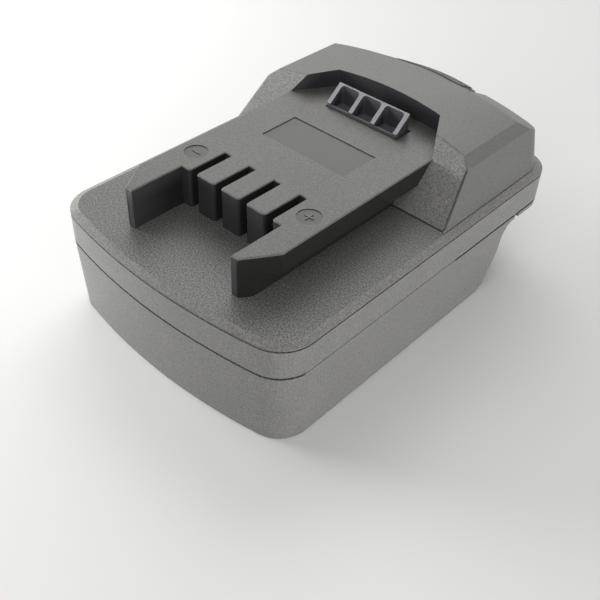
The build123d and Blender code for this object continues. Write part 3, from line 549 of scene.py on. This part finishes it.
def makeChip(name, f):
    material, tree, shader, coords = newMaterial(name)
    place = addNode(tree, "ShaderNodeSeparateXYZ", {0: coords["Object"]}, output=f["axis"])
    off = addNode(tree, "ShaderNodeMath", {0: place, 1: f["middle"] * mm}, operation="SUBTRACT")
    if f["repeat"]:
        off = addNode(tree, "ShaderNodeMath", {0: off, 1: f["repeat"] * mm / 2}, operation="ADD")
        off = addNode(tree, "ShaderNodeMath", {0: off, 1: f["repeat"] * mm}, operation="FLOORED_MODULO")
        off = addNode(tree, "ShaderNodeMath", {0: off, 1: f["repeat"] * mm / 2}, operation="SUBTRACT")
    off = addNode(tree, "ShaderNodeMath", {0: off}, operation="ABSOLUTE")
    metal = addNode(tree, "ShaderNodeMath", {0: off, 1: f["half"] * mm}, operation="GREATER_THAN")
    grain = addNode(
        tree, "ShaderNodeTexNoise", {"Vector": coords["Object"], "Scale": 1 / chipGrain, "Detail": 2.0},
    )
    shade = addNode(tree, "ShaderNodeMapRange", {"Value": grain, "To Min": 0.75, "To Max": 1.25})
    colour = addNode(
        tree, "ShaderNodeMix", {0: metal, 6: linearColour(f["body"]), 7: linearColour(tinned)},
        output=2, data_type="RGBA",
    )
    colour = addNode(tree, "ShaderNodeHueSaturation", {"Value": shade, "Color": colour})
    rough = addNode(tree, "ShaderNodeMapRange", {"Value": metal, "To Min": 0.6, "To Max": 0.3})
    bump = addNode(
        tree, "ShaderNodeBump", {"Height": grain, "Strength": 1.0, "Distance": chipGrainHeight},
    )
    tree.links.new(colour, shader["Base Color"])
    tree.links.new(metal, shader["Metallic"])
    tree.links.new(rough, shader["Roughness"])
    tree.links.new(bump, shader["Normal"])
    return material


# Drawn aluminium can in a shrunk sleeve: bright scored top, and a dark sleeve with a pale stripe on one side
canFinish = {
    "metal": "#c3c4c6",
    "sleeve": "#26272e",
    "stripe": "#9fa2a8",
    "stripeFrom": 15.0,     # mm to the right of the middle
    "topHeight": 5.1,       # mm over the board
    "scoring": 0.4,         # mm between the rings
    "scoreDepth": 0.004,
}


def makeCan(f):
    material, tree, shader, coords = newMaterial("aluminium_drawn_sleeved")
    place = addNode(tree, "ShaderNodeSeparateXYZ", {0: coords["Object"]}).node.outputs
    onTop = addNode(
        tree, "ShaderNodeMath", {0: place["Z"], 1: boardTopZ + f["topHeight"] * mm},
        operation="GREATER_THAN",
    )
    onStripe = addNode(
        tree, "ShaderNodeMath", {0: place["X"], 1: f["stripeFrom"] * mm}, operation="GREATER_THAN",
    )
    side = addNode(
        tree, "ShaderNodeMix", {0: onStripe, 6: linearColour(f["sleeve"]), 7: linearColour(f["stripe"])},
        output=2, data_type="RGBA",
    )
    colour = addNode(
        tree, "ShaderNodeMix", {0: onTop, 6: side, 7: linearColour(f["metal"])}, output=2, data_type="RGBA",
    )
    rings = addNode(
        tree, "ShaderNodeTexWave",
        {"Vector": coords["Object"], "Scale": 1 / (waveBands * f["scoring"] * mm)},
        output="Fac", wave_type="RINGS", rings_direction="Z",
    )
    bump = addNode(
        tree, "ShaderNodeBump", {"Height": rings, "Strength": 0.5, "Distance": f["scoreDepth"] * mm},
    )
    rough = addNode(tree, "ShaderNodeMapRange", {"Value": onTop, "To Min": 0.4, "To Max": 0.25})
    tree.links.new(colour, shader["Base Color"])
    tree.links.new(onTop, shader["Metallic"])
    tree.links.new(rough, shader["Roughness"])
    tree.links.new(bump, shader["Normal"])
    return material


plastics = {name: makePlastic(name, finish) for name, finish in plasticFinishes.items()}
metals = {name: makeMetal(name, finish) for name, finish in metalFinishes.items()}
chips = {name: makeChip(name, finish) for name, finish in chipFinishes.items()}
print("materials made")

clips = ("contact_negative", "contact_signal_left", "contact_signal_right", "contact_positive")
blades = ("blade_negative", "blade_signal", "blade_positive")
for material, wearers in (
    (makeHousingPlastic(housingFinish), ("upper_housing", "lower_housing")),
    (makeLatchPlastic(latchFinish), ("latch_hook", "release_button")),
    (plastics["pbt_moulded"], ("contact_holder", "terminal_block")),
    (metals["copper_alloy_nickel_plated"], clips + blades),
    (makeBoardLaminate(boardFinish), ("circuit_board",)),
    (chips["epoxy_moulded_controller"], ("controller_chip",)),
    (chips["epoxy_moulded_transistor"], ("power_transistors",)),
    (chips["ceramic_chip_end_capped"], ("chip_resistors",)),
    (makeCan(canFinish), ("filter_capacitor",)),
    (plastics["polyolefin_shrunk"], ("wire_sleeves",)),
    (plastics["pvc_extruded_black"], ("negative_wire",)),
    (plastics["pvc_extruded_white"], ("signal_wire",)),
    (plastics["pvc_extruded_red"], ("positive_wire",)),
):
    for name in wearers:
        mesh = nodes[name].data
        mesh.materials.clear()
        mesh.materials.append(material)
    print(material.name, "worn by", len(wearers), "nodes")


# geometry nodes: a tree grows its shape on the points it is given, and the result is kept as a plain mesh
def newTree(name, sizes):
    tree = bpy.data.node_groups.new(name, "GeometryNodeTree")
    tree.interface.new_socket("Geometry", in_out="INPUT", socket_type="NodeSocketGeometry")
    for label in sizes:
        tree.interface.new_socket(label, in_out="INPUT", socket_type="NodeSocketFloat")
    tree.interface.new_socket("Material", in_out="INPUT", socket_type="NodeSocketMaterial")
    tree.interface.new_socket("Geometry", in_out="OUTPUT", socket_type="NodeSocketGeometry")
    return tree, addNode(tree, "NodeGroupInput").node.outputs


def endTree(tree, given, shape, turn):
    placed = addNode(
        tree, "GeometryNodeInstanceOnPoints",
        {"Points": given["Geometry"], "Instance": shape, "Rotation": turn},
    )
    solid = addNode(tree, "GeometryNodeRealizeInstances", {"Geometry": placed})
    dressed = addNode(tree, "GeometryNodeSetMaterial", {"Geometry": solid, "Material": given["Material"]})
    out = tree.nodes.new("NodeGroupOutput")
    tree.links.new(dressed, out.inputs[0])


def growPiece(name, tree, points, sizes, material, sharpAngle):
    start = bpy.data.meshes.new(name + "_points")
    start.from_pydata([[v * mm for v in point] for point in points], [], [])
    piece = bpy.data.objects.new(name, start)
    scene.collection.objects.link(piece)
    modifier = piece.modifiers.new(name, "NODES")
    modifier.node_group = tree
    sockets = {item.name: item.identifier for item in tree.interface.items_tree if item.in_out == "INPUT"}
    for label, value in sizes.items():
        modifier[sockets[label]] = float(value)
    modifier[sockets["Material"]] = material
    shown = piece.evaluated_get(bpy.context.evaluated_depsgraph_get())
    grown = bpy.data.meshes.new_from_object(shown)
    piece.modifiers.remove(modifier)
    piece.data = grown
    bpy.data.meshes.remove(start)
    grown.shade_smooth()
    grown.set_sharp_from_angle(angle=math.radians(sharpAngle))
    print(name, "grown:", len(grown.polygons), "faces")
    return piece


# Thread-forming screws with a rounded pan head and a cross recess; sizes in mm
shellScrewSizes = {
    "Head Radius": 2.8, "Head Height": 2.0, "Shank Radius": 1.45, "Shank Length": 7.5,
    "Thread Pitch": 1.25, "Thread Depth": 0.36,
    "Recess Length": 3.2, "Recess Width": 0.7, "Recess Depth": 1.0,
}
smallScrewSizes = {
    "Head Radius": 1.9, "Head Height": 1.3, "Shank Radius": 0.95, "Shank Length": 4.5,
    "Thread Pitch": 0.8, "Thread Depth": 0.22,
    "Recess Length": 2.2, "Recess Width": 0.5, "Recess Depth": 0.6,
}
screwSets = {
    "shell_screws": {
        "replaces": "housing_screws",
        "spots": [(-31, -44, 20.9), (31, -44, 20.9), (-28, 38, 20.9), (28, 38, 20.9)],
        "headDown": True,
        "sizes": shellScrewSizes,
    },
    "terminal_screws": {
        "replaces": "block_screws",
        "spots": [(-16.2, -46.4, 22.3), (16.2, -46.4, 22.3)],
        "headDown": False,
        "sizes": smallScrewSizes,
    },
    "board_fixings": {
        "replaces": "board_screws",
        "spots": [(-18, -31, 25.0), (18, -31, 25.0), (-18, -1, 25.0), (18, -1, 25.0)],
        "headDown": False,
        "sizes": smallScrewSizes,
    },
}
screwShape = {
    "facets": 32,
    "rings": 90,
    "shankShare": 0.72,     # share of the rings that the shank takes
    "underShare": 0.03,     # share of the rings under the head
    "tipShare": 0.10,       # share of the shank over which its tip tapers
    "crestHalf": 0.14,      # pitches from the ridge's middle to the top of its side
    "crestFoot": 0.40,      # and to the bottom of its side
    "widePower": 0.45,      # under 1 keeps the head wide further up
    "risePower": 0.6,       # under 1 makes its side steeper
    "sharpAngle": 35,       # degrees
}


def makeScrewTree(s, turnOver):
    tree, given = newTree("screw", shellScrewSizes)
    size = {}
    for label in shellScrewSizes:
        size[label] = addNode(tree, "ShaderNodeMath", {0: given[label], 1: mm}, operation="MULTIPLY")
    # a sheet whose width becomes the turn about the axis, and whose length runs from tip to head
    sheet = addNode(
        tree, "GeometryNodeMeshGrid",
        {"Size X": 1.0, "Size Y": 1.0, "Vertices X": s["facets"] + 1, "Vertices Y": s["rings"]},
    )
    place = addNode(tree, "GeometryNodeInputPosition")
    sheetPlace = addNode(tree, "ShaderNodeSeparateXYZ", {0: place}).node.outputs
    u, v = sheetPlace["X"], sheetPlace["Y"]
    shankEnd = s["shankShare"] - 0.5
    headStart = shankEnd + s["underShare"]
    angle = addNode(tree, "ShaderNodeMath", {0: u, 1: 2 * math.pi}, operation="MULTIPLY")
    shank = addNode(tree, "ShaderNodeMapRange", {"Value": v, "From Min": -0.5, "From Max": shankEnd})
    under = addNode(tree, "ShaderNodeMapRange", {"Value": v, "From Min": shankEnd, "From Max": headStart})
    dome = addNode(
        tree, "ShaderNodeMapRange",
        {"Value": v, "From Min": headStart, "From Max": 0.5, "To Max": math.pi / 2},
    )
    # thread: a ridge that climbs one pitch a turn, on a shank that tapers at its tip
    climb = addNode(tree, "ShaderNodeMath", {0: shank, 1: size["Shank Length"]}, operation="MULTIPLY")
    turns = addNode(tree, "ShaderNodeMath", {0: climb, 1: size["Thread Pitch"]}, operation="DIVIDE")
    phase = addNode(tree, "ShaderNodeMath", {0: turns, 1: u}, operation="SUBTRACT")
    wave = addNode(tree, "ShaderNodeMath", {0: phase, 1: 0.5}, operation="PINGPONG")
    fall = addNode(
        tree, "ShaderNodeMapRange", {"Value": wave, "From Min": s["crestHalf"], "From Max": s["crestFoot"]},
    )
    tip = addNode(tree, "ShaderNodeMapRange", {"Value": shank, "From Max": s["tipShare"]})
    groove = addNode(tree, "ShaderNodeMath", {0: fall, 1: size["Thread Depth"]}, operation="MULTIPLY")
    radius = addNode(tree, "ShaderNodeMath", {0: size["Shank Radius"], 1: groove}, operation="SUBTRACT")
    radius = addNode(tree, "ShaderNodeMath", {0: radius, 1: tip}, operation="MULTIPLY")
    radius = addNode(tree, "ShaderNodeMix", {0: under, 2: radius, 3: size["Head Radius"]})
    # head: its side turns in and its top rises along the dome
    inward = addNode(tree, "ShaderNodeMath", {0: dome}, operation="COSINE")
    inward = addNode(tree, "ShaderNodeMath", {0: inward, 1: 0.0}, operation="MAXIMUM")
    inward = addNode(tree, "ShaderNodeMath", {0: inward, 1: s["widePower"]}, operation="POWER")
    upward = addNode(tree, "ShaderNodeMath", {0: dome}, operation="SINE")
    upward = addNode(tree, "ShaderNodeMath", {0: upward, 1: s["risePower"]}, operation="POWER")
    radius = addNode(tree, "ShaderNodeMath", {0: radius, 1: inward}, operation="MULTIPLY")
    across = addNode(tree, "ShaderNodeMath", {0: angle}, operation="COSINE")
    across = addNode(tree, "ShaderNodeMath", {0: across, 1: radius}, operation="MULTIPLY")
    along = addNode(tree, "ShaderNodeMath", {0: angle}, operation="SINE")
    along = addNode(tree, "ShaderNodeMath", {0: along, 1: radius}, operation="MULTIPLY")
    rise = addNode(tree, "ShaderNodeMath", {0: upward, 1: size["Head Height"]}, operation="MULTIPLY")
    height = addNode(tree, "ShaderNodeMath", {0: climb, 1: size["Shank Length"]}, operation="SUBTRACT")
    height = addNode(tree, "ShaderNodeMath", {0: height, 1: rise}, operation="ADD")
    bentPlace = addNode(tree, "ShaderNodeCombineXYZ", {0: across, 1: along, 2: height})
    bent = addNode(tree, "GeometryNodeSetPosition", {"Geometry": sheet, "Position": bentPlace})
    body = addNode(tree, "GeometryNodeMergeByDistance", {"Geometry": bent, "Distance": weldGap})
    # cross recess: two bars cut out of the head, half of each bar's height standing over it
    depth = addNode(tree, "ShaderNodeMath", {0: size["Recess Depth"], 1: 2.0}, operation="MULTIPLY")
    headTop = addNode(tree, "ShaderNodeCombineXYZ", {2: size["Head Height"]})
    for first, second in (("Recess Length", "Recess Width"), ("Recess Width", "Recess Length")):
        barSize = addNode(tree, "ShaderNodeCombineXYZ", {0: size[first], 1: size[second], 2: depth})
        bar = addNode(tree, "GeometryNodeMeshCube", {"Size": barSize})
        bar = addNode(tree, "GeometryNodeTransform", {"Geometry": bar, "Translation": headTop})
        body = addNode(
            tree, "GeometryNodeMeshBoolean", {"Mesh 1": body, "Mesh 2": bar}, operation="DIFFERENCE",
        )
    endTree(tree, given, body, (turnOver, 0, 0))
    return tree


screwTrees = {False: makeScrewTree(screwShape, 0), True: makeScrewTree(screwShape, math.pi)}
for name, screws in screwSets.items():
    piece = growPiece(
        name, screwTrees[screws["headDown"]], screws["spots"], screws["sizes"],
        metals["steel_zinc_plated"], screwShape["sharpAngle"],
    )
    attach(piece, "housing")
    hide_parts(screws["replaces"])
print("screws made")


# Latch springs: wound with closed ends, which the plate presses down as the latch moves; sizes in mm
springSet = {
    "spots": [(-8.6, 36.5, 20.9), (8.6, 36.5, 20.9)],
    "sizes": {"Coil Radius": 3.1, "Wire Radius": 0.35, "Height": 14.5, "Turns": 7.5},
    "closedEnds": 0.6,      # 0 winds evenly, 1 lays the last turns flat
    "stepsPerTurn": 28,
    "wireFacets": 12,
    "sharpAngle": 60,       # degrees
    "seat": 20.5,
    "restLength": 15.3,
    "travel": 5.8,
}


def makeSpringTree(s):
    tree, given = newTree("spring", s["sizes"])
    size = {}
    for label in ("Coil Radius", "Wire Radius", "Height"):
        size[label] = addNode(tree, "ShaderNodeMath", {0: given[label], 1: mm}, operation="MULTIPLY")
    coil = addNode(
        tree, "GeometryNodeCurveSpiral",
        {
            "Resolution": s["stepsPerTurn"], "Rotations": given["Turns"], "Height": size["Height"],
            "Start Radius": size["Coil Radius"], "End Radius": size["Coil Radius"],
        },
    )
    # a shift along the axis, none at the ends and the middle, lays the last turns flatter
    along = addNode(tree, "GeometryNodeSplineParameter", output="Factor")
    turn = addNode(tree, "ShaderNodeMath", {0: along, 1: 2 * math.pi}, operation="MULTIPLY")
    turn = addNode(tree, "ShaderNodeMath", {0: turn}, operation="SINE")
    flatten = -s["closedEnds"] / (2 * math.pi)
    shift = addNode(tree, "ShaderNodeMath", {0: turn, 1: flatten}, operation="MULTIPLY")
    shift = addNode(tree, "ShaderNodeMath", {0: shift, 1: size["Height"]}, operation="MULTIPLY")
    offset = addNode(tree, "ShaderNodeCombineXYZ", {2: shift})
    coil = addNode(tree, "GeometryNodeSetPosition", {"Geometry": coil, "Offset": offset})
    ring = addNode(
        tree, "GeometryNodeCurvePrimitiveCircle",
        {"Resolution": s["wireFacets"], "Radius": size["Wire Radius"]},
    )
    wire = addNode(
        tree, "GeometryNodeCurveToMesh", {"Curve": coil, "Profile Curve": ring, "Fill Caps": True},
    )
    endTree(tree, given, wire, (0, 0, 0))
    return tree


springs = growPiece(
    "coil_springs", makeSpringTree(springSet), springSet["spots"], springSet["sizes"],
    metals["spring_steel_drawn"], springSet["sharpAngle"],
)
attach(springs, "housing")
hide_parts("latch_spring_left", "latch_spring_right")
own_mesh(springs)
print("springs made")


# Solder joints: concave cones under the contacts' tails, and mounds over the ends of the leads; sizes in mm
solderSets = {
    "tail_solder": {
        "spots": [(x, -22.0, 23.4) for x in (-12.6, -4.2, 4.2, 12.6)],
        "under": True,
        "sizes": {"Foot Radius": 1.15, "Height": 0.9, "Hollow": 2.2},
    },
    "lead_solder": {
        "spots": [(-11.5, -31.1, 25.0), (-2.0, -31.1, 25.0), (11.5, -31.1, 25.0)],
        "under": False,
        "sizes": {"Foot Radius": 1.7, "Height": 1.9, "Hollow": 0.75},
    },
}
solderShape = {
    "facets": 24,
    "rings": 12,
    "footShare": 0.10,      # share of the rings on the flat underside
    "riseFrom": 0.14,       # share of the rings below the slope
    "sharpAngle": 50,       # degrees
}


def makeSolderTree(s, turnOver):
    tree, given = newTree("solder", solderSets["tail_solder"]["sizes"])
    foot = addNode(tree, "ShaderNodeMath", {0: given["Foot Radius"], 1: mm}, operation="MULTIPLY")
    height = addNode(tree, "ShaderNodeMath", {0: given["Height"], 1: mm}, operation="MULTIPLY")
    # a sheet, rolled about the axis: its rings run out along the underside, then up the slope
    sheet = addNode(
        tree, "GeometryNodeMeshGrid",
        {"Size X": 1.0, "Size Y": 1.0, "Vertices X": s["facets"] + 1, "Vertices Y": s["rings"]},
    )
    place = addNode(tree, "GeometryNodeInputPosition")
    sheetPlace = addNode(tree, "ShaderNodeSeparateXYZ", {0: place}).node.outputs
    u, v = sheetPlace["X"], sheetPlace["Y"]
    angle = addNode(tree, "ShaderNodeMath", {0: u, 1: 2 * math.pi}, operation="MULTIPLY")
    rise = addNode(
        tree, "ShaderNodeMapRange", {"Value": v, "From Min": s["riseFrom"] - 0.5, "From Max": 0.5},
    )
    inset = addNode(
        tree, "ShaderNodeMapRange", {"Value": v, "From Min": -0.5, "From Max": s["footShare"] - 0.5},
    )
    out = addNode(tree, "ShaderNodeMath", {0: 1.0, 1: rise}, operation="SUBTRACT")
    lift = addNode(tree, "ShaderNodeMath", {0: rise, 1: given["Hollow"]}, operation="POWER")
    lift = addNode(tree, "ShaderNodeMath", {0: lift, 1: height}, operation="MULTIPLY")
    radius = addNode(tree, "ShaderNodeMath", {0: out, 1: inset}, operation="MULTIPLY")
    radius = addNode(tree, "ShaderNodeMath", {0: radius, 1: foot}, operation="MULTIPLY")
    across = addNode(tree, "ShaderNodeMath", {0: angle}, operation="COSINE")
    across = addNode(tree, "ShaderNodeMath", {0: across, 1: radius}, operation="MULTIPLY")
    along = addNode(tree, "ShaderNodeMath", {0: angle}, operation="SINE")
    along = addNode(tree, "ShaderNodeMath", {0: along, 1: radius}, operation="MULTIPLY")
    bentPlace = addNode(tree, "ShaderNodeCombineXYZ", {0: across, 1: along, 2: lift})
    bent = addNode(tree, "GeometryNodeSetPosition", {"Geometry": sheet, "Position": bentPlace})
    mound = addNode(tree, "GeometryNodeMergeByDistance", {"Geometry": bent, "Distance": weldGap})
    endTree(tree, given, mound, (turnOver, 0, 0))
    return tree


solderTrees = {False: makeSolderTree(solderShape, 0), True: makeSolderTree(solderShape, math.pi)}
for name, joints in solderSets.items():
    piece = growPiece(
        name, solderTrees[joints["under"]], joints["spots"], joints["sizes"],
        metals["tin_solder_flowed"], solderShape["sharpAngle"],
    )
    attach(piece, "housing")
print("solder made")


# plain pale floor and soft studio light; places and sizes in metres, powers in watts
studio = {
    "floor": "#f2f2f0",
    "floorHalf": 3.0,
    "floorDrop": 0.0002,    # under the standing face
    "fadeFrom": 0.25,       # from the middle, where the floor starts to fade to white
    "fadeTo": 0.9,
    "worldStrength": 0.28,
    "aimedAt": (0, 0, 0.03),
    "softboxes": {
        "rear left": {"place": (-0.62, 0.72, 0.86), "size": (1.1, 0.8), "power": 7.2},
        "low left": {"place": (-0.38, -0.14, 0.065), "size": (0.26, 0.10), "power": 2.8},
        "low right": {"place": (0.65, -0.05, 0.07), "size": (0.40, 0.12), "power": 2.8},
        "front": {"place": (0.25, -0.95, 0.60), "size": (0.6, 0.6), "power": 2.6},
    },
}


def makeFloor(s):
    half = s["floorHalf"]
    mesh = bpy.data.meshes.new("floor")
    corners = [(-half, -half, 0), (half, -half, 0), (half, half, 0), (-half, half, 0)]
    mesh.from_pydata(corners, [], [(0, 1, 2, 3)])
    floor = bpy.data.objects.new("floor", mesh)
    floor.location.z = -s["floorDrop"]
    scene.collection.objects.link(floor)
    # matt paper, seen as plain white further out
    material, tree, shader, coords = newMaterial("paper_matt")
    shader["Base Color"].default_value = linearColour(s["floor"])
    shader["Roughness"].default_value = 0.9
    reach = addNode(
        tree, "ShaderNodeVectorMath", {0: coords["Object"]}, output="Value", operation="LENGTH",
    )
    fade = addNode(
        tree, "ShaderNodeMapRange", {"Value": reach, "From Min": s["fadeFrom"], "From Max": s["fadeTo"]},
        interpolation_type="SMOOTHSTEP",
    )
    seen = addNode(tree, "ShaderNodeLightPath", output="Is Camera Ray")
    share = addNode(tree, "ShaderNodeMath", {0: fade, 1: seen}, operation="MULTIPLY")
    white = addNode(tree, "ShaderNodeEmission", {"Strength": 1.0})
    paper = tree.nodes["Principled BSDF"].outputs[0]
    blend = addNode(tree, "ShaderNodeMixShader", {0: share, 1: paper, 2: white})
    tree.links.new(blend, tree.nodes["Material Output"].inputs[0])
    mesh.materials.append(material)


def makeWorld(s):
    world = bpy.data.worlds.new("studio")
    scene.world = world
    world.use_nodes = True
    tree = world.node_tree
    background = tree.nodes["Background"].inputs
    background["Color"].default_value = (1, 1, 1, 1)
    # plain white to the camera and in reflections, weaker as light
    path = addNode(tree, "ShaderNodeLightPath").node.outputs
    seen = path["Is Camera Ray"]
    for ray in ("Is Glossy Ray", "Is Transmission Ray"):
        seen = addNode(tree, "ShaderNodeMath", {0: seen, 1: path[ray]}, operation="MAXIMUM")
    strength = addNode(tree, "ShaderNodeMix", {0: seen, 2: s["worldStrength"], 3: 1.0})
    tree.links.new(strength, background["Strength"])


def makeSoftbox(name, box, aimedAt):
    data = bpy.data.lights.new(name + " softbox", "AREA")
    data.shape = "RECTANGLE"
    data.size, data.size_y = box["size"]
    data.energy = box["power"]
    lamp = bpy.data.objects.new(name + " softbox", data)
    lamp.location = box["place"]
    aim = Vector(aimedAt) - Vector(box["place"])
    lamp.rotation_euler = aim.to_track_quat("-Z", "Y").to_euler()
    lamp.visible_camera = False
    scene.collection.objects.link(lamp)


makeFloor(studio)
makeWorld(studio)
for name, box in studio["softboxes"].items():
    makeSoftbox(name, box, studio["aimedAt"])
print("stage and lights set")
